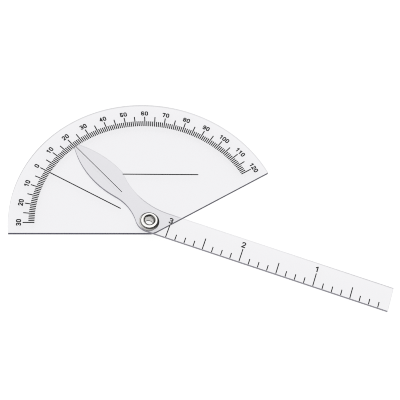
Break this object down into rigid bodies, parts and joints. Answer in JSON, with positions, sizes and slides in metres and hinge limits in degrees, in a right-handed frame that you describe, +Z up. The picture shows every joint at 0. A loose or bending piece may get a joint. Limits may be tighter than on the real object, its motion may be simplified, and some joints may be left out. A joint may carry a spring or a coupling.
{
  "type": "finger goniometer",
  "caption": "Clear plastic finger goniometer: a sector plate with a printed degree scale, and a bent arm, part leaf-shaped pointer and part rule, that turns on a hollow eyelet.",
  "frame": {"origin": "on the pivot axis, at the underside of the sector plate", "axes": "+Z up the pivot axis towards the printed faces, +X along the plate's straight base edge, +Y into the sector"},
  "size_m": [0.1261, 0.0787, 0.004],
  "materials": {
    "clear_plate": "clear, polished",
    "clear_arm": "clear, polished",
    "eyelet_metal": "bright nickel plating",
    "washer_metal": "bright nickel plating",
    "plate_ink": "black printing ink",
    "arm_ink": "black printing ink"
  },
  "bodies": {
    "plate": {"protractor_plate": "clear_plate", "pivot_eyelet": "eyelet_metal", "eyelet_washer": "washer_metal", "degree_ticks": "plate_ink", "degree_numerals": "plate_ink", "zero_line": "plate_ink", "level_line": "plate_ink"},
    "arm": {"pointer_arm": "clear_arm", "rule_ticks": "arm_ink", "rule_numerals": "arm_ink", "index_line": "arm_ink"}
  },
  "joints": [
    {"name": "arm_pivot", "type": "hinge", "parent": "plate", "child": "arm", "pos_m": [0, 0, 0], "axis": [0, 0, -1], "continuous": true}
  ]
}
